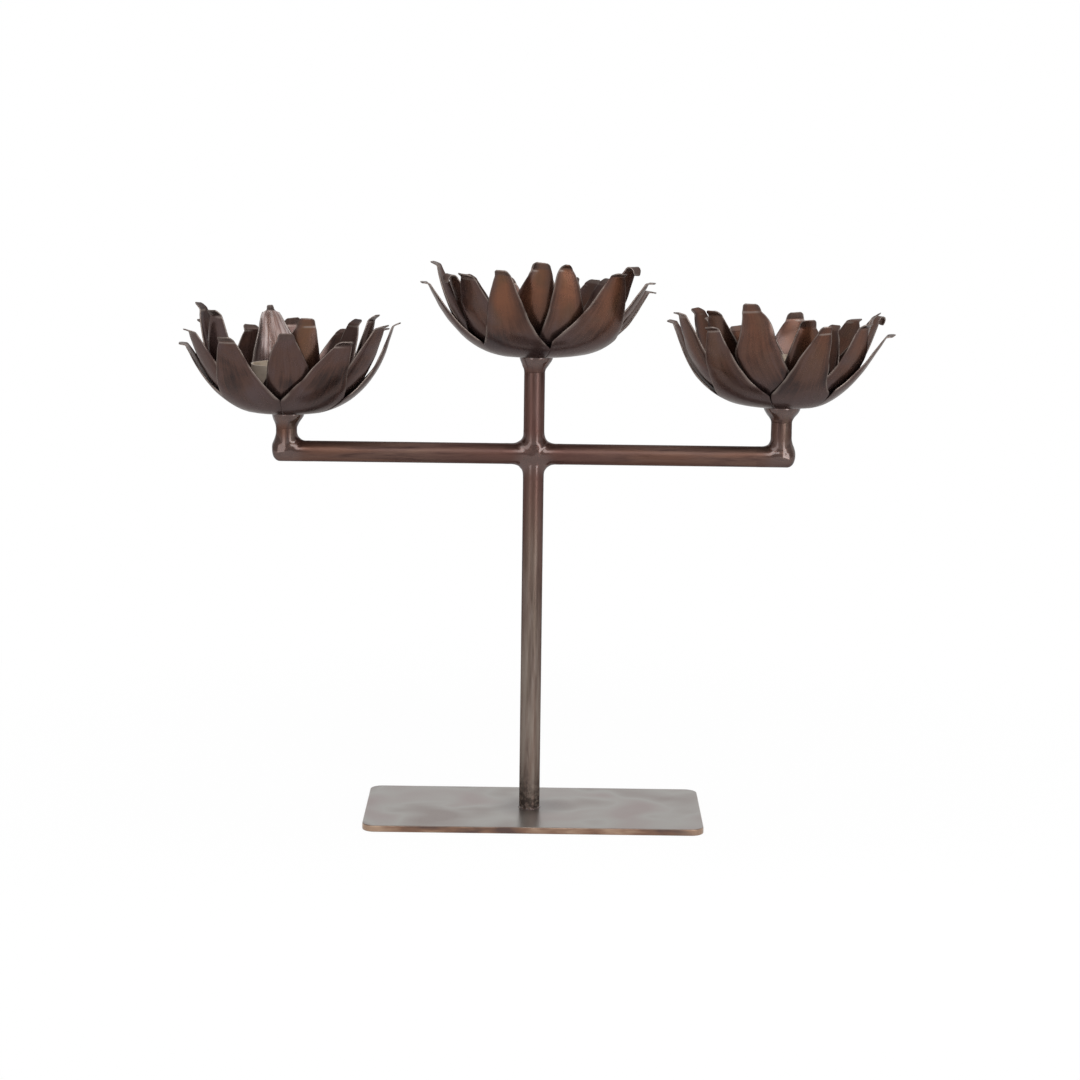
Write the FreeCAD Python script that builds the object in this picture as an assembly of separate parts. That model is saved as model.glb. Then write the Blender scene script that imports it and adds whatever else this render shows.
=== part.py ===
import FreeCAD, Part
import math
import os
from FreeCAD import Vector

# Candelabra of welded steel tube with three lotus flowers of cut sheet, in millimetres.
# The origin is under the stem's axis on the plate's underside: +Z is up, +X is along the right arm.

# Base plate, whose middle lies a little to the right of the stem
PLATE_LENGTH = 208.0
PLATE_DEPTH = 100.0
PLATE_THICKNESS = 4.2
PLATE_CORNER_RADIUS = 8.0
PLATE_EDGE_ROUND = 0.7
PLATE_SHIFT = 2.5

# Round tube, the same for the stem, the arms and the risers
TUBE_DIAMETER = 12.7
TUBE_WALL = 1.5

# Heights are axis to axis, or axis to the underside of a flower
ARM_HEIGHT = 226.0
ARM_REACH = 151.0
LEFT_RISER_HEIGHT = 24.5
RIGHT_RISER_HEIGHT = 32.0
STEM_ABOVE_ARMS = 60.8

# Rounded plug in the open end of each arm
PLUG_OVERHANG = 8.0
PLUG_HEAD = 5.6
PLUG_ROUND = 4.2
PLUG_SPIGOT = 5.0
PLUG_CLEARANCE = 0.1

# Weld fillets, each as its leg along one piece and up the other
FOOT_WELD_LEG = 1.6
ARM_WELD_ALONG = 8.0
ARM_WELD_UP = 5.5
RISER_WELD_ALONG = 5.0
RISER_WELD_UP = 5.0
COLLAR_FLARE = 5.6
COLLAR_HEIGHT = 9.0
WELD_PROUD = 0.8
WELD_TOE = 0.15

# Petal sheet and the rivet that holds the three rosettes of a flower together
SHEET = 0.8
SHEET_GAP = 0.06
PETALS = 6
RIVET_SHANK_DIAMETER = 5.0
RIVET_HOLE_CLEARANCE = 0.2
RIVET_HEAD_DIAMETER = 9.0
RIVET_HEAD_HEIGHT = 1.3
RIVET_TAIL_LENGTH = 3.0
RIVET_TAIL_CLEARANCE = 0.8

# Loose candle cup, made for a tealight
CUP_BORE = 41.0
CUP_WALL = 1.0
CUP_HEIGHT = 26.5
CUP_CORNER_RADIUS = 8.5
CUP_PUNT_CLEARANCE = 0.6
CUP_SEAT_MARGIN = 1.0

# Petal outline: side by side near the root, then tapering to the fold, and the lip past the fold
ROOT_STEP = 2.4
SLIT = 1.2
PETAL_SPREAD = 22.0
TAPER_EXPONENT = 0.85
FOLD_HALF_WIDTH = 5.5
LIP_HALF_WIDTH = 4.4
LIP_LENGTH = 6.0
LIP_CURL = 62.0
LEAST_CURL = 0.35
HOOK_CURL = 105.0
EXTRA_CUPPING = 0.6
TURN_START = 0.35

# Arc length of an outer petal to its fold, and how much longer each rosette inside it is cut
PETAL_LENGTH = 62.8
PETAL_LENGTH_STEP = 5.4
# Steepest slope of each rosette's petals in degrees
OUTER_SLOPE = 62.0
MIDDLE_SLOPE = 73.0
INNER_SLOPE = 83.0

# How far each whole flower is bent up, and how far it is bent over to the right, in degrees
FLOWER_BEND_EASE = 3.0
FLOWER_RISE = {"left": 9.0, "centre": 2.0, "right": 9.5}
FLOWER_TILT = {"left": 0.0, "centre": 5.0, "right": -8.0}
# Hand work on each flower: the direction of each rosette's first petal in degrees, then for its
# petals, counted anticlockwise from above, how far each leans in and how much longer it is cut
FLOWER_BENDS = {
    "left": {
        "outer": (0, (12, 3, 3, -1, 8, 4), (7, -4, -2, -6, 1, -1)),
        "middle": (31, (-15, 0, -2, -7, 0, -9), (-4, -7, -3, -2, -6, 3)),
        "inner": (42, (-9, -8, -1, -1, 2, -5), (-12, -4, 0, 1, -5, -3)),
    },
    "centre": {
        "outer": (12, (-2, 0, -6, 0, 9, 13), (4, 2, -4, 0, 15, 17)),
        "middle": (50, (0, 0, 2, -4, 5, -11), (-10, -14, 1, 0, 11, 4)),
        "inner": (27, (-4, -2, -7, -15, 2, -15), (-17, -11, -19, -11, -2, 7)),
    },
    "right": {
        "outer": (45, (-10, 2, 12, 3, 7, -7), (0, -6, 9, 12, 2, -8)),
        "middle": (22, (-15, 0, 1, -1, 10, -3), (-6, -9, 4, 11, 12, -8)),
        "inner": (45, (-12, 0, 7, -12, 0, -12), (-24, -18, -12, 3, -12, -11)),
    },
}
# Petals whose lip is rolled into a hook, as flower, rosette and place in the rosette
HOOKED = {("centre", "inner", 3), ("centre", "inner", 5), ("right", "middle", 0)}
# Petals that are bent sideways at the tip, in degrees seen from above
TURNED = {
    ("left", "outer", 2): -5, ("left", "outer", 4): 1, ("left", "outer", 5): 7, ("left", "middle", 4): 4,
    ("left", "inner", 1): 3, ("left", "inner", 3): 5, ("left", "inner", 4): 6, ("centre", "outer", 0): -2,
    ("centre", "outer", 1): -1, ("centre", "outer", 2): -2, ("centre", "outer", 3): -2, ("centre", "outer", 4): 2,
    ("centre", "outer", 5): 1, ("centre", "middle", 4): -4, ("centre", "inner", 4): 7, ("right", "outer", 0): 2,
    ("right", "outer", 1): 8, ("right", "outer", 2): 5, ("right", "outer", 3): 5, ("right", "outer", 4): 3,
    ("right", "outer", 5): 5, ("right", "middle", 1): -4, ("right", "middle", 4): -14, ("right", "inner", 4): -3,
}

# Worked out from the values above
TUBE_RADIUS = TUBE_DIAMETER / 2
BORE_RADIUS = TUBE_RADIUS - TUBE_WALL
CUP_RADIUS = CUP_BORE / 2 + CUP_WALL
CUP_FLAT_RADIUS = CUP_RADIUS - CUP_CORNER_RADIUS
INNER_ROOT = CUP_FLAT_RADIUS + CUP_SEAT_MARGIN
ROSETTES = {
    "outer": (0, INNER_ROOT + 2 * ROOT_STEP, PETAL_LENGTH, OUTER_SLOPE),
    "middle": (1, INNER_ROOT + ROOT_STEP, PETAL_LENGTH + PETAL_LENGTH_STEP, MIDDLE_SLOPE),
    "inner": (2, INNER_ROOT, PETAL_LENGTH + 2 * PETAL_LENGTH_STEP, INNER_SLOPE),
}
SHEET_PITCH = SHEET + SHEET_GAP
STACK = len(ROSETTES) * SHEET_PITCH - SHEET_GAP
FLOWER_SEATS = {
    "left": Vector(-ARM_REACH, 0, ARM_HEIGHT + LEFT_RISER_HEIGHT),
    "centre": Vector(0, 0, ARM_HEIGHT + STEM_ABOVE_ARMS),
    "right": Vector(ARM_REACH, 0, ARM_HEIGHT + RIGHT_RISER_HEIGHT),
}
FLOWER_BEND_START = (INNER_ROOT + 2 * ROOT_STEP) / math.cos(math.pi / PETALS)
UP = Vector(0, 0, 1)
ALONG = Vector(1, 0, 0)
# Shares of the petal's length at which its cross-section is drawn
BODY_STATIONS = (0, 0.02, 0.05, 0.1, 0.16, 0.22, 0.28, 0.34, 0.4, 0.46, 0.54, 0.64, 0.75, 0.86, 0.95, 1.0)
LIP_STATIONS = (0.3, 0.65, 1.0)
# Sections that curve by less than this are drawn straight
STRAIGHT_BELOW = 0.02
INTEGRATION_STEPS = 8


def revolved(points):
    """Return the solid turned about Z from a closed outline of (radius, height) points."""
    outline = Part.makePolygon([Vector(r, 0, z) for r, z in points + points[:1]])
    return Part.Face(outline).revolve(Vector(0, 0, 0), UP, 360)


def concave_arc(low, high, corner, steps=8):
    """Return points of a curve from low to high that is pulled towards a corner point."""
    points = []
    for step in range(steps + 1):
        share = step / steps
        weights = ((1 - share) ** 2, 2 * share * (1 - share), share ** 2)
        r = weights[0] * low[0] + weights[1] * corner[0] + weights[2] * high[0]
        z = weights[0] * low[1] + weights[1] * corner[1] + weights[2] * high[1]
        points.append((r, z))
    return points


def tube(start, direction, length):
    """Return a length of the round tube, open at both ends."""
    outer = Part.makeCylinder(TUBE_RADIUS, length, start, direction)
    return outer.cut(Part.makeCylinder(BORE_RADIUS, length, start, direction))


def base_plate():
    """Return the plate with rounded corners and softened edges."""
    plate = Part.makeBox(PLATE_LENGTH, PLATE_DEPTH, PLATE_THICKNESS,
                         Vector(PLATE_SHIFT - PLATE_LENGTH / 2, -PLATE_DEPTH / 2, 0))
    corners = [e for e in plate.Edges if abs(e.tangentAt(e.FirstParameter).z) > 0.9]
    plate = plate.makeFillet(PLATE_CORNER_RADIUS, corners)
    rims = [e for e in plate.Edges if e.BoundBox.ZLength < 1e-6]
    return plate.makeFillet(PLATE_EDGE_ROUND, rims)


def stem():
    """Return the tube from the top of the plate to the underside of the centre flower."""
    top = FLOWER_SEATS["centre"].z
    return tube(Vector(0, 0, PLATE_THICKNESS), UP, top - PLATE_THICKNESS)


def stem_foot_weld():
    """Return the small bead round the stem where it stands on the plate."""
    low = (TUBE_RADIUS + FOOT_WELD_LEG, PLATE_THICKNESS)
    toe = (TUBE_RADIUS + FOOT_WELD_LEG, PLATE_THICKNESS + WELD_TOE)
    high = (TUBE_RADIUS + WELD_TOE, PLATE_THICKNESS + FOOT_WELD_LEG)
    corner = (TUBE_RADIUS + WELD_TOE, PLATE_THICKNESS + WELD_TOE)
    inner = [(TUBE_RADIUS, PLATE_THICKNESS + FOOT_WELD_LEG), (TUBE_RADIUS, PLATE_THICKNESS)]
    return revolved([low] + concave_arc(toe, high, corner) + inner)


def stem_clearance():
    """Return a solid rod as thick as the stem, for cutting what meets it."""
    return Part.makeCylinder(TUBE_RADIUS, FLOWER_SEATS["centre"].z)


def arm_clearance():
    """Return a solid rod as thick as an arm, past the end of the right arm."""
    start = Vector(-2 * ARM_REACH, 0, ARM_HEIGHT)
    return Part.makeCylinder(TUBE_RADIUS, 4 * ARM_REACH, start, ALONG)


def plug_face():
    """Return the place along the arm where its tube ends and the plug's head starts."""
    return ARM_REACH + PLUG_OVERHANG - PLUG_HEAD


def right_arm():
    """Return the arm's tube, coped to the stem."""
    start = Vector(0, 0, ARM_HEIGHT)
    return tube(start, ALONG, plug_face()).cut(stem_clearance())


def right_arm_end_plug():
    """Return the rounded plug with its spigot in the arm's bore."""
    face = Vector(plug_face(), 0, ARM_HEIGHT)
    head = Part.makeCylinder(TUBE_RADIUS, PLUG_HEAD, face, ALONG)
    outer_x = face.x + PLUG_HEAD
    rim = [e for e in head.Edges if e.BoundBox.XLength < 1e-6 and abs(e.BoundBox.XMax - outer_x) < 1e-6]
    head = head.makeFillet(PLUG_ROUND, rim)
    inner_end = face - Vector(PLUG_SPIGOT, 0, 0)
    spigot = Part.makeCylinder(BORE_RADIUS - PLUG_CLEARANCE, PLUG_SPIGOT, inner_end, ALONG)
    return head.fuse(spigot).removeSplitter()


def ellipse_wire(centre, first, second):
    """Return an ellipse from its centre and two half axes, the longer one first."""
    return Part.Wire(Part.Ellipse(centre + first, centre + second, centre).toShape())


def right_arm_weld():
    """Return the saddle fillet between the stem and the arm, widest up and down the stem."""
    sections = []
    start = TUBE_RADIUS * 0.4
    steps = 9
    for step in range(steps + 1):
        x = start + (TUBE_RADIUS + ARM_WELD_ALONG - start) * step / steps
        fade = (1 - max(0.0, x - TUBE_RADIUS) / ARM_WELD_ALONG) ** 2
        half_height = TUBE_RADIUS + 1.5 * WELD_TOE + ARM_WELD_UP * fade
        half_depth = TUBE_RADIUS + WELD_TOE + WELD_PROUD * fade
        centre = Vector(x, 0, ARM_HEIGHT)
        sections.append(ellipse_wire(centre, Vector(0, 0, half_height), Vector(0, half_depth, 0)))
    return Part.makeLoft(sections, True).cut(stem_clearance()).cut(arm_clearance())


def riser(seat):
    """Return a riser from its arm to the underside of its flower, coped to the arm."""
    start = Vector(seat.x, 0, ARM_HEIGHT)
    return tube(start, UP, seat.z - ARM_HEIGHT).cut(arm_clearance())


def riser_weld(seat):
    """Return the fillet round a riser's foot, longest on the side towards the stem."""
    inward = -1 if seat.x > 0 else 1
    sections = []
    start = TUBE_RADIUS * 0.4
    steps = 8
    for step in range(steps + 1):
        height = start + (TUBE_RADIUS + RISER_WELD_UP - start) * step / steps
        fade = (1 - max(0.0, height - TUBE_RADIUS) / RISER_WELD_UP) ** 2
        inner_side = TUBE_RADIUS + 1.5 * WELD_TOE + RISER_WELD_ALONG * fade
        outer_side = TUBE_RADIUS + 1.5 * WELD_TOE + WELD_PROUD * fade
        half_depth = TUBE_RADIUS + WELD_TOE + WELD_PROUD * fade
        centre = Vector(seat.x + inward * (inner_side - outer_side) / 2, 0, ARM_HEIGHT + height)
        half_length = Vector((inner_side + outer_side) / 2, 0, 0)
        sections.append(ellipse_wire(centre, half_length, Vector(0, half_depth, 0)))
    rod = Part.makeCylinder(TUBE_RADIUS, seat.z - ARM_HEIGHT, Vector(seat.x, 0, ARM_HEIGHT))
    return Part.makeLoft(sections, True).cut(rod).cut(arm_clearance())


def collar_weld(seat):
    """Return the trumpet-shaped weld that spreads from the tube to the flower's underside."""
    low = (TUBE_RADIUS + WELD_TOE, -COLLAR_HEIGHT)
    high = (TUBE_RADIUS + COLLAR_FLARE, -WELD_TOE)
    corner = (TUBE_RADIUS + COLLAR_FLARE * 0.25, -COLLAR_HEIGHT * 0.25)
    ends = [(TUBE_RADIUS + COLLAR_FLARE, 0), (TUBE_RADIUS, 0), (TUBE_RADIUS, -COLLAR_HEIGHT)]
    return revolved(concave_arc(low, high, corner) + ends).translated(seat)


def eased(share):
    """Return a share from 0 to 1 with a soft start and end."""
    share = min(1.0, max(0.0, share))
    return share * share * (3 - 2 * share)


def petal_slope(share, slope, lean):
    """Return a petal's slope in degrees at a share of its length to the fold."""
    return slope * (1.5 * share - 0.5 * share ** 3) + lean * eased((share - 0.12) / 0.88)


def root_half_width(root):
    """Return half the width of a petal's straight root, which leaves a slit to the next petal."""
    return root * math.tan(math.pi / PETALS) - SLIT / 2


def body_half_width(share, radius, angle):
    """Return half a petal's width: beside the next petal near the root, then tapering to the fold."""
    steep = max(abs(math.sin(angle)), 0.01)
    beside = radius * math.atan(math.tan(math.pi / PETALS) * steep) / steep - SLIT / 2
    return min(FOLD_HALF_WIDTH + PETAL_SPREAD * (1 - share) ** TAPER_EXPONENT, beside)


def petal_stations(rosette, lean, longer, curl):
    """Return (radius, height, slope, half width, length share) from a petal's root to its lip."""
    level, root, usual_length, slope = ROSETTES[rosette]
    length = usual_length + longer
    radius = root
    height = level * SHEET_PITCH + SHEET / 2
    stations = [(radius, height, 0.0, root_half_width(root), 0.0)]
    for before, share in zip(BODY_STATIONS, BODY_STATIONS[1:]):
        piece = (share - before) / INTEGRATION_STEPS
        for step in range(INTEGRATION_STEPS):
            angle = math.radians(petal_slope(before + (step + 0.5) * piece, slope, lean))
            radius += length * piece * math.cos(angle)
            height += length * piece * math.sin(angle)
        angle = math.radians(petal_slope(share, slope, lean))
        stations.append((radius, height, angle, body_half_width(share, radius, angle), share))
    fold = slope + lean
    before = 0.0
    for share in LIP_STATIONS:
        middle = math.radians(fold - curl * (before + share) / 2)
        radius += LIP_LENGTH * (share - before) * math.cos(middle)
        height += LIP_LENGTH * (share - before) * math.sin(middle)
        angle = math.radians(fold - curl * share)
        half_width = FOLD_HALF_WIDTH + (LIP_HALF_WIDTH - FOLD_HALF_WIDTH) * share
        stations.append((radius, height, angle, half_width, 1.0))
        before = share
    return stations


def flower_bend(x, y, flower, heading):
    """Return how far a petal's point is raised where its whole flower is bent up and over."""
    radius = math.hypot(x, y)
    right = (x * math.cos(heading) - y * math.sin(heading)) / radius
    out = max(0.0, radius - FLOWER_BEND_START)
    up = math.tan(math.radians(FLOWER_RISE[flower]))
    over = math.tan(math.radians(FLOWER_TILT[flower]))
    return out * out / (out + FLOWER_BEND_EASE) * (up - over * right)


def petal_section(station, turned, flower, heading):
    """Return the closed outline of a petal's cross-section, with the bend of its flower."""
    radius, height, angle, half_width, share = station
    inward = Vector(-math.sin(angle), 0, math.cos(angle))
    free = max(0.0, (share - TURN_START) / (1 - TURN_START))
    sideways = radius * math.tan(math.radians(turned)) * free ** 2
    steep = max(abs(math.sin(angle)), 0.01)
    curvature = (1 + EXTRA_CUPPING * share ** 2) * steep / radius
    turn = half_width * curvature
    lateral = math.sin(turn) / curvature
    sag = (1 - math.cos(turn)) / curvature
    edge = radius + inward.x * sag
    lifts = [flower_bend(x, sideways + y, flower, heading) for x, y in ((edge, -lateral), (radius, 0), (edge, lateral))]
    middle = Vector(radius, sideways, height + lifts[1])
    across = Vector(0, lateral, (lifts[2] - lifts[0]) / 2)
    rise = inward * (sag + ((lifts[0] + lifts[2]) / 2 - lifts[1]) * inward.z)
    top = inward * (SHEET / 2)
    upper = (middle - across + rise + top, middle + top, middle + across + rise + top)
    lower = (middle + across + rise - top, middle - top, middle - across + rise - top)
    if share == 0 or rise.Length < STRAIGHT_BELOW:
        flat = middle + rise
        upper = (flat - across + top, flat + top, flat + across + top)
        lower = (flat + across - top, flat - top, flat - across - top)
        faces = [Part.makeLine(upper[0], upper[2]), Part.makeLine(lower[0], lower[2])]
    else:
        faces = [Part.Arc(*upper).toShape(), Part.Arc(*lower).toShape()]
    ends = [Part.makeLine(upper[2], lower[0]), Part.makeLine(lower[2], upper[0])]
    return Part.Wire([faces[0], ends[0], faces[1], ends[1]])


def rosette_disc(rosette):
    """Return the flat middle of a rosette: a root edge for each petal, and the rivet's hole."""
    level, root, _, _ = ROSETTES[rosette]
    floor = level * SHEET_PITCH
    half = root_half_width(root)
    corners = []
    for place in range(PETALS):
        heading = 2 * math.pi * place / PETALS
        ahead = Vector(math.cos(heading), math.sin(heading), 0)
        across = Vector(-math.sin(heading), math.cos(heading), 0)
        corners.append(ahead * root - across * half + UP * floor)
        corners.append(ahead * root + across * half + UP * floor)
    disc = Part.Face(Part.makePolygon(corners + corners[:1])).extrude(UP * SHEET)
    hole_radius = (RIVET_SHANK_DIAMETER + RIVET_HOLE_CLEARANCE) / 2
    return disc.cut(Part.makeCylinder(hole_radius, SHEET, Vector(0, 0, floor)))


def rosette_petals(flower, rosette):
    """Return one rosette of a flower: six bent petals and the disc that joins them."""
    first, leans, longer = FLOWER_BENDS[flower][rosette]
    petals = []
    for place in range(PETALS):
        which = (flower, rosette, place)
        heading = math.radians(first + place * 360 / PETALS)
        usual_curl = LIP_CURL * (LEAST_CURL + (1 - LEAST_CURL) * abs(math.cos(heading)))
        curl = HOOK_CURL if which in HOOKED else usual_curl
        stations = petal_stations(rosette, leans[place], longer[place], curl)
        turned = TURNED.get(which, 0)
        petal = Part.makeLoft([petal_section(station, turned, flower, heading) for station in stations], True)
        petals.append(petal.rotated(Vector(0, 0, 0), UP, place * 360 / PETALS))
    joined = Part.Solid(rosette_disc(rosette).multiFuse(petals).Shells[0])
    return joined.rotated(Vector(0, 0, 0), UP, first).translated(FLOWER_SEATS[flower])


def flower_rivet(seat):
    """Return the rivet: a low domed head on the stack of sheets and a tail in the tube's bore."""
    shank = RIVET_SHANK_DIAMETER / 2
    tail = BORE_RADIUS - RIVET_TAIL_CLEARANCE
    head = RIVET_HEAD_DIAMETER / 2
    dome = concave_arc((head, STACK + 0.3), (0, STACK + RIVET_HEAD_HEIGHT), (head * 0.6, STACK + RIVET_HEAD_HEIGHT))
    outline = [(0, -RIVET_TAIL_LENGTH), (tail, -RIVET_TAIL_LENGTH), (tail, 0), (shank, 0),
               (shank, STACK), (head, STACK)]
    return revolved(outline + dome).translated(seat)


def candle_cup(seat):
    """Return the loose cup: straight wall, round bottom corner and a raised punt over the rivet."""
    punt = RIVET_HEAD_HEIGHT + CUP_PUNT_CLEARANCE
    punt_radius = RIVET_HEAD_DIAMETER / 2 + 1.5
    outer = Part.makeCylinder(CUP_RADIUS, CUP_HEIGHT)
    outer = outer.makeFillet(CUP_CORNER_RADIUS, [e for e in outer.Edges if e.BoundBox.ZMax < 1e-6])
    inner = Part.makeCylinder(CUP_BORE / 2, CUP_HEIGHT, Vector(0, 0, CUP_WALL))
    inner_corner = CUP_CORNER_RADIUS - CUP_WALL
    low_edge = [e for e in inner.Edges if e.BoundBox.ZMax < CUP_WALL + 1e-6]
    inner = inner.makeFillet(inner_corner, low_edge)
    boss = Part.makeCone(punt_radius + CUP_WALL + punt, punt_radius + CUP_WALL, punt + CUP_WALL)
    dimple = Part.makeCone(punt_radius + punt, punt_radius, punt)
    cup = outer.cut(inner).fuse(boss).cut(dimple).removeSplitter()
    return cup.translated(seat + UP * STACK)


def mirrored(shape):
    """Return a right-hand piece as its left-hand twin."""
    return shape.mirror(Vector(0, 0, 0), ALONG)


def all_parts():
    """Return every piece of the candelabra by its node's name."""
    parts = {"base_plate": base_plate(), "stem": stem(), "stem_foot_weld": stem_foot_weld()}
    for name, maker in (("arm", right_arm), ("arm_end_plug", right_arm_end_plug), ("arm_weld", right_arm_weld)):
        shape = maker()
        parts["right_" + name] = shape
        parts["left_" + name] = mirrored(shape)
    for side in ("left", "right"):
        parts[side + "_riser"] = riser(FLOWER_SEATS[side])
        parts[side + "_riser_weld"] = riser_weld(FLOWER_SEATS[side])
    for flower, seat in FLOWER_SEATS.items():
        parts[flower + "_collar_weld"] = collar_weld(seat)
        for rosette in ROSETTES:
            parts[flower + "_" + rosette + "_petals"] = rosette_petals(flower, rosette)
        parts[flower + "_flower_rivet"] = flower_rivet(seat)
        parts[flower + "_candle_cup"] = candle_cup(seat)
    return parts


def main():
    """Build the pieces and write one file for each."""
    os.makedirs("parts", exist_ok=True)
    for name, shape in all_parts().items():
        print(name, "solids", len(shape.Solids), "valid", shape.isValid(), "volume", round(shape.Volume, 1))
        shape.exportStep("parts/" + name + ".step")


main()
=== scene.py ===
"""Looks of the welded candelabra: hand-bent petals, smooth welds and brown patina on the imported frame."""

import logging
import math
from dataclasses import dataclass, field
from enum import Enum
from typing import Optional, Sequence, Union

import bmesh
import bpy
import numpy as np
from mathutils import Matrix, Vector, noise


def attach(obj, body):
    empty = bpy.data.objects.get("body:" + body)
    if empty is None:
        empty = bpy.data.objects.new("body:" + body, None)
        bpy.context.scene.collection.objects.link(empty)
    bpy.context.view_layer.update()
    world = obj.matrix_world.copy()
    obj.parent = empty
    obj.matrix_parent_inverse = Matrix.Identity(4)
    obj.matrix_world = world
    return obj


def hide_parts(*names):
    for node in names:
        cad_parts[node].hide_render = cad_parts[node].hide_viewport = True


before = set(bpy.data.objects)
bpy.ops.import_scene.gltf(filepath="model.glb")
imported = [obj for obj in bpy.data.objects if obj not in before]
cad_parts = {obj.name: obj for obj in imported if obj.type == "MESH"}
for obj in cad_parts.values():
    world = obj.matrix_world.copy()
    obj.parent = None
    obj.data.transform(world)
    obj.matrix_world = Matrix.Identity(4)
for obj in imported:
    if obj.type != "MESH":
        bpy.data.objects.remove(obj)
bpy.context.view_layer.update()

MM = 0.001
TUBE_RADIUS = 6.35
ARM_HEIGHT = 226.0
ARM_REACH = 151.0
PLATE_TOP = 4.2
LOG = logging.getLogger("candelabra")
Colour = tuple[float, float, float, float]
Faces = list[tuple[int, ...]]


# Shader expressions


def shade(red: int, green: int, blue: int) -> Colour:
    """Return a colour given in display values from 0 to 255 as the linear colour that shaders use.

    Args:
        red, green, blue: the display values.

    Returns:
        The linear colour with an alpha of 1.
    """
    def linear(value: int) -> float:
        """Return one display value as linear light."""
        share = value / 255
        return share / 12.92 if share <= 0.04045 else ((share + 0.055) / 1.055) ** 2.4

    return linear(red), linear(green), linear(blue), 1.0


class Value:
    """A shader socket that can stand in a Python expression."""

    def __init__(self, tree: "ShaderTree", socket: bpy.types.NodeSocket) -> None:
        """Wrap one output socket of a tree."""
        self.tree = tree
        self.socket = socket

    def _math(self, operation: str, first: "Term", second: "Term") -> "Value":
        """Return the result of a Math node on two terms."""
        return self.tree.node("ShaderNodeMath", {"operation": operation}, {0: first, 1: second})

    def __add__(self, other: "Term") -> "Value":
        """Return the sum."""
        return self._math("ADD", self, other)

    def __radd__(self, other: "Term") -> "Value":
        """Return the sum, with this value second."""
        return self._math("ADD", other, self)

    def __sub__(self, other: "Term") -> "Value":
        """Return the difference."""
        return self._math("SUBTRACT", self, other)

    def __rsub__(self, other: "Term") -> "Value":
        """Return the difference, with this value second."""
        return self._math("SUBTRACT", other, self)

    def __mul__(self, other: "Term") -> "Value":
        """Return the product."""
        return self._math("MULTIPLY", self, other)

    def __rmul__(self, other: "Term") -> "Value":
        """Return the product, with this value second."""
        return self._math("MULTIPLY", other, self)

    def __abs__(self) -> "Value":
        """Return the value without its sign."""
        return self._math("ABSOLUTE", self, 0.0)

    def clamped(self) -> "Value":
        """Return the value kept between 0 and 1."""
        return self.tree.node("ShaderNodeClamp", {}, {"Value": self})

    def between(self, low: float, high: float) -> "Value":
        """Return a soft step from 0 at low to 1 at high.

        Args:
            low: the value at which the step starts.
            high: the value at which it ends.

        Returns:
            The step, from 0 to 1.
        """
        sockets = {"Value": self, "From Min": low, "From Max": high}
        return self.tree.node("ShaderNodeMapRange", {"interpolation_type": "SMOOTHSTEP"}, sockets)


Term = Union[Value, float]


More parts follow.
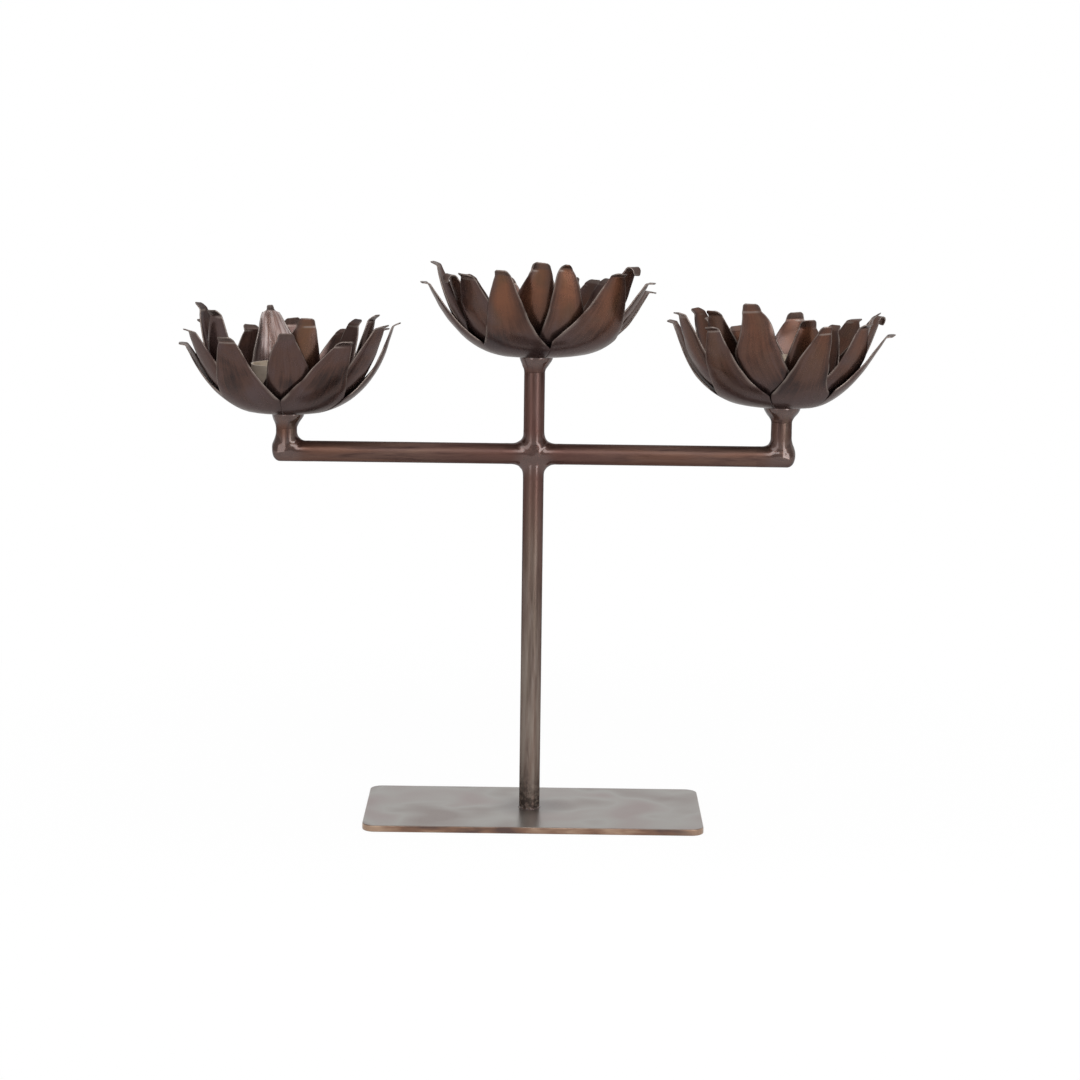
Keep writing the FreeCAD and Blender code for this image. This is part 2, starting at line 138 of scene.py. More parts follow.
class ShaderTree:
    """The nodes of one material or of the world."""

    def __init__(self, tree: bpy.types.NodeTree) -> None:
        """Take over an empty node tree."""
        self.tree = tree
        tree.nodes.clear()

    def node(self, kind: str, settings: Optional[dict] = None, sockets: Optional[dict] = None,
             output: Optional[str] = None) -> Value:
        """Add a node.

        Args:
            kind: the node's type name.
            settings: properties, set first; "stops" gives a ramp's positions and colours.
            sockets: constants or values by socket name or number.
            output: the name of the wanted output, or the first one.

        Returns:
            The wanted output.
        """
        made = self.tree.nodes.new(kind)
        for name, setting in (settings or {}).items():
            if name == "stops":
                self._set_stops(made.color_ramp, setting)
            else:
                setattr(made, name, setting)
        for name, term in (sockets or {}).items():
            if isinstance(name, int):
                socket = made.inputs[name]
            else:
                socket = next(s for s in made.inputs if s.name == name and s.enabled)
            if isinstance(term, Value):
                self.tree.links.new(term.socket, socket)
            else:
                socket.default_value = term
        shown = [s for s in made.outputs if s.enabled]
        wanted = [s for s in shown if output in (None, s.name)]
        return Value(self, wanted[0]) if wanted else None

    @staticmethod
    def _set_stops(ramp: bpy.types.ColorRamp, stops: Sequence[tuple[float, Colour]]) -> None:
        """Give a ramp its stops, as position and colour."""
        while len(ramp.elements) < len(stops):
            ramp.elements.new(1.0)
        for element, (position, colour) in zip(ramp.elements, stops):
            element.position = position
            element.color = colour

    def place(self) -> Value:
        """Return the point on the piece, in metres."""
        return self.node("ShaderNodeTexCoord", output="Object")

    def facing(self, axis: str) -> Value:
        """Return how far the surface faces along X, Y or Z."""
        normal = self.node("ShaderNodeTexCoord", output="Normal")
        return self.node("ShaderNodeSeparateXYZ", {}, {"Vector": normal}, axis)

    def stretched(self, at: Value, scale: tuple[float, float, float]) -> Value:
        """Return a point with each axis scaled."""
        return self.node("ShaderNodeVectorMath", {"operation": "MULTIPLY"}, {0: at, 1: scale})

    def clouds(self, at: Value, scale: float, detail: float = 2.0, roughness: float = 0.5,
               distortion: float = 0.0) -> Value:
        """Return soft noise from 0 to 1.

        Args:
            at: the point.
            scale: features per metre.
            detail: how many finer layers are added.
            roughness: how strong the finer layers are.
            distortion: how much the pattern is stirred.

        Returns:
            The noise.
        """
        sockets = {"Vector": at, "Scale": scale, "Detail": detail, "Roughness": roughness,
                   "Distortion": distortion}
        return self.node("ShaderNodeTexNoise", {}, sockets)

    def ramp(self, value: Term, stops: Sequence[tuple[float, Colour]]) -> Value:
        """Return a colour from a ramp's stops."""
        return self.node("ShaderNodeValToRGB", {"stops": stops}, {"Fac": value}, "Color")

    def mix(self, share: Term, first: Union[Value, Colour], second: Union[Value, Colour]) -> Value:
        """Return a colour between two others."""
        sockets = {"Factor": share, "A": first, "B": second}
        return self.node("ShaderNodeMix", {"data_type": "RGBA"}, sockets, "Result")

    def layer(self, name: str) -> Value:
        """Return a number stored on the mesh's points."""
        return self.node("ShaderNodeAttribute", {"attribute_name": name}, output="Fac")

    def bump(self, height: Value, strength: float, distance: float) -> Value:
        """Return a normal bumped by a height.

        Args:
            height: the height, from 0 to 1.
            strength: how much of it is used.
            distance: the height that 1 stands for, in metres.

        Returns:
            The normal.
        """
        return self.node("ShaderNodeBump", {}, {"Height": height, "Strength": strength, "Distance": distance})

    def metal(self, varying: dict, constants: dict) -> None:
        """Finish a material with its surface shader.

        Args:
            varying: values that change over the surface, by socket name.
            constants: values that don't.
        """
        surface = self.node("ShaderNodeBsdfPrincipled", {}, {**constants, **varying})
        self.node("ShaderNodeOutputMaterial", {}, {"Surface": surface})


def new_tree(name: str) -> tuple[bpy.types.Material, ShaderTree]:
    """Return a new material and its empty tree."""
    material = bpy.data.materials.new(name)
    material.use_nodes = True
    return material, ShaderTree(material.node_tree)


# Finishes


class Drawn(Enum):
    """The direction in which a tube's streaks run, as a scale for each axis."""

    UPRIGHT = (1.0, 1.0, 0.08)
    LEVEL = (0.1, 1.0, 1.0)


@dataclass(frozen=True)
class TubePatina:
    """Brown patina drawn out along a tube: redder near the crossing's weld, paler and greyer towards the
    bottom.
    """

    name: str
    roughness: float
    coat: float
    dark: Colour = shade(58, 43, 40)
    brown: Colour = shade(84, 64, 58)
    mauve: Colour = shade(98, 82, 79)
    rust: Colour = shade(100, 69, 55)
    olive: Colour = shade(97, 86, 73)
    # the pale grey that the tubes turn towards the bottom
    pale_streaks: Colour = shade(128, 118, 109)
    heated: Colour = shade(84, 58, 53)
    soot: Colour = shade(44, 38, 37)
    edge_tint: Colour = shade(120, 105, 100)
    metallic: float = 0.7
    pale_below: float = 0.2
    hot_spot: tuple[float, float, float] = (0.0, 0.0, ARM_HEIGHT * MM)
    weld_coat: float = 0.6
    coat_roughness: float = 0.1
    coat_ior: float = 1.7

    def patina(self, tree: ShaderTree, drawn: Drawn) -> tuple[Value, Value]:
        """Return the colour and the streaks.

        Args:
            tree: the material's tree.
            drawn: the direction of the streaks.

        Returns:
            The colour, and the streaks from 0 to 1.
        """
        at = tree.place()
        streaks = tree.clouds(tree.stretched(at, drawn.value), 330.0, 3.0, 0.6, 0.3)
        drift = tree.clouds(tree.stretched(at, drawn.value), 90.0, 2.0)
        colour = tree.ramp(streaks, [(0.3, self.dark), (0.48, self.brown), (0.68, self.mauve)])
        colour = tree.mix(drift.between(0.5, 0.66) * 0.5, colour, self.rust)
        colour = tree.mix((1 - drift).between(0.52, 0.68) * 0.5, colour, self.olive)
        far = tree.node("ShaderNodeVectorMath", {"operation": "DISTANCE"}, {0: at, 1: self.hot_spot}, "Value")
        hot = 1 - (far + (drift - 0.5) * 0.05).between(0.015, 0.085)
        colour = tree.mix(hot * 0.65, colour, self.heated)
        height = tree.node("ShaderNodeSeparateXYZ", {}, {"Vector": at}, "Z")
        # paler and greyer in streaks towards the bottom
        low = 1 - (height + (drift - 0.5) * 0.12).between(0.05, self.pale_below)
        colour = tree.mix(low * (streaks.between(0.25, 0.7) * 0.6 + 0.25), colour, self.pale_streaks)
        specks = tree.clouds(at, 420.0, 2.0, 0.6)
        foot = 1 - (height + (drift - 0.5) * 0.03).between(0.008, 0.034)
        return tree.mix(foot * specks.between(0.4, 0.55) * 0.75, colour, self.soot), streaks

    def finish(self, tree: ShaderTree, colour: Value, streaks: Value, gloss: Term) -> None:
        """Finish the material.

        Args:
            tree: the material's tree.
            colour: the base colour.
            streaks: the streaks from 0 to 1.
            gloss: how much smoother and lumpier than the tube the surface is, from 0 to 1.
        """
        grain = tree.clouds(tree.place(), 1400.0, 2.0, 0.6)
        lumps = tree.clouds(tree.place(), 260.0, 1.0)
        roughness = (self.roughness - gloss * 0.12 + (streaks - 0.5) * 0.2 + (grain - 0.5) * 0.1).clamped()
        normal = tree.bump(grain * 0.3 + streaks * 0.7 + lumps * gloss * 2.5, 0.16, 0.0004)
        coat = self.coat + gloss * self.weld_coat
        varying = {"Base Color": colour, "Roughness": roughness, "Normal": normal, "Coat Weight": coat}
        constants = {"Metallic": self.metallic, "Specular Tint": self.edge_tint,
                     "Coat Roughness": self.coat_roughness, "Coat IOR": self.coat_ior}
        tree.metal(varying, constants)

    def material(self, drawn: Drawn) -> bpy.types.Material:
        """Return the material for a tube with streaks in one direction."""
        made, tree = new_tree(self.name)
        colour, streaks = self.patina(tree, drawn)
        self.finish(tree, colour, streaks, 0.0)
        return made


@dataclass(frozen=True)
class WeldPatina(TubePatina):
    """The tubes' patina, which turns darker and glossier where the metal has run."""

    burnt: Colour = shade(72, 50, 44)

    def welded(self) -> bpy.types.Material:
        """Return the material for pieces that store where they are upright and where they are welded."""
        made, tree = new_tree(self.name)
        upright, weld = tree.layer("upright"), tree.layer("weld")
        level_colour, level_streaks = self.patina(tree, Drawn.LEVEL)
        upright_colour, upright_streaks = self.patina(tree, Drawn.UPRIGHT)
        colour = tree.mix(upright, level_colour, upright_colour)
        streaks = level_streaks + (upright_streaks - level_streaks) * upright
        lumps = tree.clouds(tree.place(), 160.0, 2.0, 0.5, 0.5)
        colour = tree.mix(weld * (lumps.between(0.35, 0.65) * 0.5 + 0.35), colour, self.burnt)
        self.finish(tree, colour, streaks, weld)
        return made


@dataclass(frozen=True)
class PetalPatina:
    """Brown patina on the petals: a painted reflection of the pale floor greys them low down, a copper glow
    above, dark at the edges; metal shows through along the rims, with painted highlights along the rims and
    folds and painted shade on the curled lips.
    """

    name: str = "petal_patina"
    dark: Colour = shade(46, 34, 32)
    brown: Colour = shade(72, 52, 46)
    mauve: Colour = shade(76, 60, 59)
    copper: Colour = shade(110, 70, 50)
    ochre: Colour = shade(95, 65, 45)
    # painted reflection: the pale floor seen in the lower petals, and the grey-white painted highlight on
    # glossy petals
    grey: Colour = shade(62, 52, 53)
    # metal showing through, used on the rims and as a painted highlight along the rims and folds
    bare_and_highlight: Colour = shade(132, 120, 113)
    # painted shade on the underside of the curled lips
    lip: Colour = shade(70, 63, 60)
    edge_tint: Colour = shade(170, 160, 155)
    roughness: float = 0.3
    metallic: float = 0.75
    coat_roughness: float = 0.15
    coat_ior: float = 1.7

    def material(self) -> bpy.types.Material:
        """Return the material."""
        made, tree = new_tree(self.name)
        at = tree.place()
        along, across, rim = tree.layer("along"), tree.layer("across"), tree.layer("rim")
        tone, copper, gloss = tree.layer("tone"), tree.layer("copper"), tree.layer("gloss")
        broad = tree.clouds(at, 42.0, 2.0, 0.5, 0.4)
        stains = tree.clouds(at, 120.0, 3.0, 0.6, 1.0)
        grain = tree.clouds(at, 1300.0, 2.0, 0.6)
        sheet = tree.node("ShaderNodeCombineXYZ", {}, {"X": across * 3.0 + tone * 9.0, "Y": along * 0.9,
                                                       "Z": copper * 5.0})
        streaks = tree.clouds(sheet, 2.6, 3.0, 0.6)
        colour = tree.ramp((broad + tone * 0.15 + (streaks - 0.5) * 0.5).clamped(),
                           [(0.3, self.dark), (0.5, self.brown), (0.7, self.mauve)])
        # painted reflection of the pale floor greys the lower petals, and gloss adds a grey painted highlight
        low = 1 - along.between(0.2, 0.62)
        colour = tree.mix((low * 0.6 + gloss * 0.45).clamped(), colour, self.grey)
        middle = 1 - abs(across).between(0.2, 0.95)
        glow = along.between(0.38, 0.85) * (middle * 0.75 + 0.25) * copper
        heat = (glow + (stains - 0.5) * 0.5 * along + (streaks - 0.5) * 0.4 * along).clamped()
        colour = tree.mix(heat * 0.85, colour, tree.mix(broad.between(0.42, 0.6), self.copper, self.ochre))
        colour = tree.mix(abs(across).between(0.7, 1.0) * 0.18, colour, self.dark)
        patches = tree.clouds(at, 75.0, 1.0)
        # painted shade: the curled lips turn a darker grey
        colour = tree.mix(along.between(1.02, 1.1) * (tone * 0.8 + 0.35).clamped() * 0.8, colour, self.lip)
        # painted highlight: a pale line along the fold, in patches
        fold = along.between(0.985, 1.0) * (1 - along.between(1.01, 1.05))
        colour = tree.mix(fold * patches.between(0.45, 0.6) * 0.6, colour, self.bare_and_highlight)
        # the rims show metal through the patina in patches, partly as a painted edge highlight
        worn_and_highlit = rim * patches.between(0.3, 0.52)
        colour = tree.mix(worn_and_highlit * 0.7, colour, self.bare_and_highlight)
        uneven = (stains - 0.5) * 0.2 + (streaks - 0.5) * 0.15 + (grain - 0.5) * 0.1
        roughness = (self.roughness + uneven - gloss * 0.06).clamped()
        normal = tree.bump(grain * 0.2 + stains * 0.5 + streaks * 0.5, 0.14, 0.0005)
        coat = (streaks.between(0.35, 0.6) * gloss * 0.9 + 0.12).clamped()
        varying = {"Base Color": colour, "Roughness": roughness, "Normal": normal, "Coat Weight": coat}
        constants = {"Metallic": self.metallic, "Specular Tint": self.edge_tint,
                     "Coat Roughness": self.coat_roughness, "Coat IOR": self.coat_ior}
        tree.metal(varying, constants)
        return made


@dataclass(frozen=True)
class PlatePatina:
    """Clouded grey-brown patina on the plate, its grey partly a painted reflection of the pale surroundings,
    with copper-brown edges streaked paler and a painted highlight at the rounded corners.
    """

    name: str = "plate_patina"
    brown: Colour = shade(94, 76, 67)
    # grey: partly the mottled patina, partly a painted reflection of the pale surroundings on the top
    grey: Colour = shade(128, 123, 117)
    mauve: Colour = shade(118, 100, 96)
    soot: Colour = shade(60, 48, 44)
    edge: Colour = shade(82, 62, 56)
    copper: Colour = shade(118, 88, 70)
    # pale streaks on the edges, and the painted highlight at the rounded corners
    bright: Colour = shade(168, 142, 120)
    roughness: float = 0.3
    metallic: float = 0.6
    soot_reach: float = 0.03
    middle: float = 0.0025
    # how far from the middle along X the painted corner highlight reaches, in metres
    corner: float = 0.104

    def material(self) -> bpy.types.Material:
        """Return the material."""
        made, tree = new_tree(self.name)
        at = tree.place()
        blotches = tree.clouds(at, 24.0, 1.5, 0.45, 0.25)
        drift = tree.clouds(at, 14.0, 2.0)
        grain = tree.clouds(at, 1200.0, 2.0, 0.6)
        streaks = tree.clouds(tree.stretched(at, (0.3, 0.3, 1.0)), 150.0, 2.0, 0.5)
        # grey blotches and drift: partly mottled patina, partly a painted reflection of the pale surroundings
        colour = tree.ramp(blotches, [(0.34, self.brown), (0.5, self.grey), (0.68, self.mauve)])
        colour = tree.mix(drift.between(0.45, 0.7) * 0.4, colour, self.grey)
        middle = tree.node("ShaderNodeVectorMath", {"operation": "LENGTH"}, {0: at}, "Value")
        near_stem = 1 - (middle + (blotches - 0.5) * 0.02).between(0.008, self.soot_reach)
        colour = tree.mix(near_stem * 0.6, colour, self.soot)
        side = 1 - abs(tree.facing("Z")).between(0.25, 0.9)
        # the edges' colour: dark, copper and pale streaks
        pale_streaks = tree.ramp(streaks, [(0.36, self.edge), (0.5, self.copper), (0.72, self.bright)])
        along = abs(tree.node("ShaderNodeSeparateXYZ", {}, {"Vector": at}, "X") - self.middle)
        # painted highlight on the edges at the rounded corners
        pale_streaks = tree.mix(along.between(self.corner - 0.022, self.corner) * 0.6, pale_streaks, self.bright)
        colour = tree.mix(side, colour, pale_streaks)
        roughness = (self.roughness + (blotches - 0.5) * 0.08 + (grain - 0.5) * 0.08).clamped()
        normal = tree.bump(grain * 0.3 + blotches, 0.06, 0.0005)
        varying = {"Base Color": colour, "Roughness": roughness, "Normal": normal}
        tree.metal(varying, {"Metallic": self.metallic, "Coat Weight": 0.1, "Coat Roughness": 0.2})
        return made


@dataclass(frozen=True)
class SpunSteel:
    """Pale spun steel with fine rings, for the cups, and darker for the rivets."""

    name: str
    pale: Colour
    dark: Colour
    roughness: float = 0.36

    def material(self) -> bpy.types.Material:
        """Return the material."""
        made, tree = new_tree(self.name)
        at = tree.place()
        rings = tree.clouds(tree.stretched(at, (0.03, 0.03, 1.0)), 1800.0, 3.0, 0.6)
        stains = tree.clouds(at, 90.0, 3.0, 0.6, 0.6)
        colour = tree.mix((stains.between(0.35, 0.75) * 0.6 + rings * 0.3).clamped(), self.pale, self.dark)
        roughness = (self.roughness + (stains - 0.5) * 0.25 + (rings - 0.5) * 0.15).clamped()
        normal = tree.bump(rings, 0.2, 0.0002)
        varying = {"Base Color": colour, "Roughness": roughness, "Normal": normal}
        tree.metal(varying, {"Metallic": 0.4})
        return made


# Meshes


def eased(share: np.ndarray) -> np.ndarray:
    """Return shares from 0 to 1 with a soft start and end."""
    share = np.clip(share, 0.0, 1.0)
    return share * share * (3 - 2 * share)


def ripple(points: np.ndarray, size: float, seed: float) -> np.ndarray:
    """Return smooth noise from -1 to 1 at points.

    Args:
        points: the points, in millimetres.
        size: the width of a bump, in millimetres.
        seed: what makes one pattern differ from another.

    Returns:
        One number for each point.
    """
    offset = Vector((seed * 17.3, seed * 5.7, seed * 31.1))
    return np.array([noise.noise(Vector(p) / size + offset) for p in points])


def closed_rings(rings: int, around: int) -> Faces:
    """Return the quads that join rings of points one after the other, and the last ring to the first.

    Args:
        rings: how many rings there are.
        around: how many points each ring has.

    Returns:
        The faces.
    """
    numbers = np.arange(rings * around).reshape(rings, around)
    faces = []
    for lower, upper in zip(numbers.tolist(), np.roll(numbers, -1, axis=0).tolist()):
        faces += zip(lower, lower[1:] + lower[:1], upper[1:] + upper[:1], upper)
    return faces


def add_piece(name: str, points: np.ndarray, faces: Faces, material: bpy.types.Material,
              layers: Optional[dict[str, np.ndarray]] = None) -> bpy.types.Object:
    """Make a smooth-shaded piece.

    Args:
        name: the piece's name.
        points: its corners, in millimetres.
        faces: corner numbers of each face.
        material: its finish.
        layers: numbers stored on the corners, by name.

    Returns:
        The object.
    """
    mesh = bpy.data.meshes.new(name)
    mesh.from_pydata([tuple(p) for p in points * MM], [], faces)
    for layer, numbers in (layers or {}).items():
        mesh.attributes.new(layer, "FLOAT", "POINT").data.foreach_set("value", numbers.astype(np.float32))
    work = bmesh.new()
    work.from_mesh(mesh)
    bmesh.ops.recalc_face_normals(work, faces=work.faces)
    work.to_mesh(mesh)
    work.free()
    mesh.shade_smooth()
    mesh.materials.append(material)
    made = bpy.data.objects.new(name, mesh)
    bpy.context.scene.collection.objects.link(made)
    return made


def settle(piece: bpy.types.Object, body: str, slot: str, *nodes: str) -> None:
    """Let a piece ride on a body in place of some nodes.

    Args:
        piece: the piece.
        body: the body that it moves with.
        slot: the record's material slot; not used.
        nodes: the nodes that it stands for.
    """
    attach(piece, body)
    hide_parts(*nodes)
    LOG.info("%s rides on %s for %s", piece.name, body, ", ".join(nodes))


def dress(node: str, material: bpy.types.Material) -> None:
    """Give a kept node its finish."""
    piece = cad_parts[node]
    for slot in piece.material_slots:
        slot.material = material
    LOG.info("%s keeps its own shape", node)


# Flowers


class Rosette(Enum):
    """The three rosettes of a flower, from the outside in."""

    OUTER = "outer"
    MIDDLE = "middle"
    INNER = "inner"


@dataclass(frozen=True)
class TipShape:
    """How a petal ends: angle in degrees that the lip bends by, and sizes in millimetres."""

    curl: float
    fold_half_width: float
    end_half_width: float
    length: float
    fold_length: float
    taper_exponent: float
    pinch: float = 1.0


class Tip(Enum):
    """The ways in which petals end."""

    LIP = TipShape(62.0, 5.5, 4.2, 5.3, 2.4, 0.85)
    HOOK = TipShape(165.0, 5.5, 3.6, 9.0, 8.0, 0.8)
    POINT = TipShape(40.0, 4.2, 1.6, 4.8, 3.0, 0.7)
    KNOB = TipShape(30.0, 5.0, 1.9, 4.6, 2.6, 0.82, 5.0)


@dataclass(frozen=True)
class PetalBend:
    """What sets one petal apart: angles in degrees, lengths in millimetres, shades from 0 to 1."""

    lean: float
    longer: float
    turned: float
    tip: Tip
    flick: float
    spread: float
    widest: float
    sway: float
    trims: tuple[float, float]
    copper: float
    # gloss sets the coat and also paints a grey highlight into the colour
    gloss: float
    seed: float


@dataclass(frozen=True)
class PetalCut:
    """How the petals of one rosette are cut and bent, in millimetres and degrees."""

    level: int
    root: float
    length: float
    slope: float
    sheet: float = 0.8
    sheet_gap: float = 0.06
    petals: int = 6
    slit: float = 0.3
    extra_cupping: float = 0.6
    lip_extra_curl: float = 0.0
    hole_radius: float = 2.6
    free_from: float = 0.32
    turn_start: float = 0.35
    margin_start: float = 0.7
    margin_angle: float = 8.0
    dent: float = 0.45
    rim_round: float = 0.3

    ACROSS = (-1.0, -0.97, -0.9, -0.82, -0.74, -0.64, -0.5, -0.34, -0.17, 0.0,
              0.17, 0.34, 0.5, 0.64, 0.74, 0.82, 0.9, 0.97, 1.0)
    BODY_ROWS = 36
    LIP_ROWS = (0.07, 0.14, 0.21, 0.29, 0.4, 0.54, 0.7, 0.86, 0.95, 1.0)
    STEPS = 8
    LIP_SCALE = 20.0

    def slope_at(self, share: float, bend: PetalBend) -> float:
        """Return a petal's slope in degrees at a share of its length to the fold."""
        return self.slope * (1.5 * share - 0.5 * share ** 3) + bend.lean * float(eased((share - 0.12) / 0.88))

    def half_width(self, share: float, radius: float, angle: float, bend: PetalBend) -> float:
        """Return half a petal's width: next to its neighbour near the root, then tapering to the fold."""
        steep = max(abs(math.sin(angle)), 0.01)
        beside = radius * math.atan(math.tan(math.pi / self.petals) * steep) / steep - self.slit / 2
        tip = bend.tip.value
        return min(tip.fold_half_width + bend.spread * (1 - share) ** tip.taper_exponent, beside, bend.widest)

    def profile(self, bend: PetalBend) -> np.ndarray:
        """Return a petal's middle line.

        Args:
            bend: the petal's own bend.

        Returns:
            Rows of radius, height, angle in radians, half width, share of the length, and millimetres
            past the fold.
        """
        length, tip = self.length + bend.longer, bend.tip.value
        radius, height = self.root, self.level * (self.sheet + self.sheet_gap) + self.sheet / 2
        rows = [(radius, height, 0.0, self.half_width(0.0, radius, 0.0, bend), 0.0, 0.0)]
        for row in range(self.BODY_ROWS):
            for step in range(self.STEPS):
                middle = (row + (step + 0.5) / self.STEPS) / self.BODY_ROWS
                angle = math.radians(self.slope_at(middle, bend))
                radius += length / self.BODY_ROWS / self.STEPS * math.cos(angle)
                height += length / self.BODY_ROWS / self.STEPS * math.sin(angle)
            share = (row + 1) / self.BODY_ROWS
            angle = math.radians(self.slope_at(share, bend))
            rows.append((radius, height, angle, self.half_width(share, radius, angle, bend), share, 0.0))
        own = 14 * noise.noise(Vector((bend.seed * 4.1, 7.7, 0.9)))
        curl = (tip.curl + self.lip_extra_curl + own) * bend.flick
        fold = self.slope_at(1.0, bend)
        before = 0.0
        for reach in self.LIP_ROWS:
            past = reach * tip.length
            turn = 0.8 * float(eased(past / tip.fold_length)) + 0.2 * reach
            angle = math.radians(fold - curl * turn)
            radius += (past - before) * math.cos(angle)
            height += (past - before) * math.sin(angle)
            corner = math.sqrt(1 - 0.45 * max(0.0, (reach - 0.7) / 0.3) ** 2)
            narrowing = (tip.fold_half_width - tip.end_half_width) * (1 - reach) ** tip.pinch
            half = (tip.end_half_width + narrowing) * corner
            rows.append((radius, height, angle, half, 1.0, past))
            before = past
        return np.array(rows)

    def surface(self, bend: PetalBend) -> tuple[np.ndarray, np.ndarray, np.ndarray]:
        """Return a petal's middle surface.

        Args:
            bend: the petal's own bend.

        Returns:
            Points and normals by row and column, and each row's share of the length, which goes on past 1
            on the lip.
        """
        rows = self.profile(bend)
        across = np.array(self.ACROSS)
        radius, height, angle, half, share, past = (rows[:, [c]] for c in range(6))
        body = eased((share - self.free_from) / 0.25)
        jag = np.array([[noise.noise(Vector((s * 7 + p, side, bend.seed * 9.1))) for side in (0.0, 5.0)]
                        for s, p in zip(share[:, 0], past[:, 0] / 6)])
        wide = half * (1 + 0.06 * body * np.where(across < 0, jag[:, [0]], jag[:, [1]]))
        wide = wide * (1 - np.where(across < 0, *bend.trims) * eased(share / 0.55))
        curving = (1 + self.extra_cupping * share ** 2) * np.abs(np.sin(angle)) / radius
        left, right = (0.5 + 0.5 * noise.noise(Vector((bend.seed * 3.7, s, 0.3))) for s in (1.1, 6.2))
        strength = np.where(across < 0, left, right) * self.margin_angle * 2
        fade = body * (1 - eased((share - 0.82) / 0.18))
        near_edge = eased((np.abs(across) - self.margin_start) / 0.16) * np.sign(across)
        margin = np.radians(strength) * near_edge * fade
        turn = curving * wide * across + margin
        lateral, sag = self.swept(wide * np.cos(turn), across), self.swept(wide * np.sin(turn), across)
        roll = math.radians(5.0) * noise.noise(Vector((bend.seed * 5.9, 2.2, 8.8))) * body
        cos, sin = np.cos(roll), np.sin(roll)
        lateral, sag = lateral * cos - sag * sin, lateral * sin + sag * cos
        freed = np.clip((share - self.turn_start) / (1 - self.turn_start), 0.0, 1.0)
        swayed = bend.sway * np.sin(math.pi * share ** 1.6) ** 2
        sideways = radius * math.tan(math.radians(bend.turned)) * freed ** 2 + swayed
        slant = 0.12 * noise.noise(Vector((bend.seed * 2.3, 4.4, 1.7))) * past * across
        points = np.stack([
            radius - np.sin(angle) * sag + np.cos(angle) * slant,
            sideways + lateral,
            height + np.cos(angle) * sag + np.sin(angle) * slant], axis=-1)
        normals = self.normals(points)
        flat = points.reshape(-1, 3)
        dents = ripple(flat, 15.0, bend.seed) + 0.45 * ripple(flat, 6.5, bend.seed + 3)
        points = points + normals * (dents.reshape(points.shape[:2]) * self.dent * body)[..., None]
        return points, self.normals(points), share[:, 0] + past[:, 0] / self.LIP_SCALE

    @staticmethod
    def swept(speed: np.ndarray, across: np.ndarray) -> np.ndarray:
        """Return the sum of a speed from the middle column outwards."""
        steps = (speed[:, 1:] + speed[:, :-1]) / 2 * np.diff(across)
        total = np.concatenate([np.zeros((len(speed), 1)), np.cumsum(steps, axis=1)], axis=1)
        return total - total[:, [len(across) // 2]]

    @staticmethod
    def normals(points: np.ndarray) -> np.ndarray:
        """Return unit normals of a grid of points, towards the flower's inside."""
        along = np.gradient(points, axis=0)
        along[0] = (1.0, 0.0, 0.0)
        normal = np.cross(along, np.gradient(points, axis=1))
        return normal / np.linalg.norm(normal, axis=-1, keepdims=True)


LAYERS = ("along", "across", "rim", "tone", "copper", "gloss")


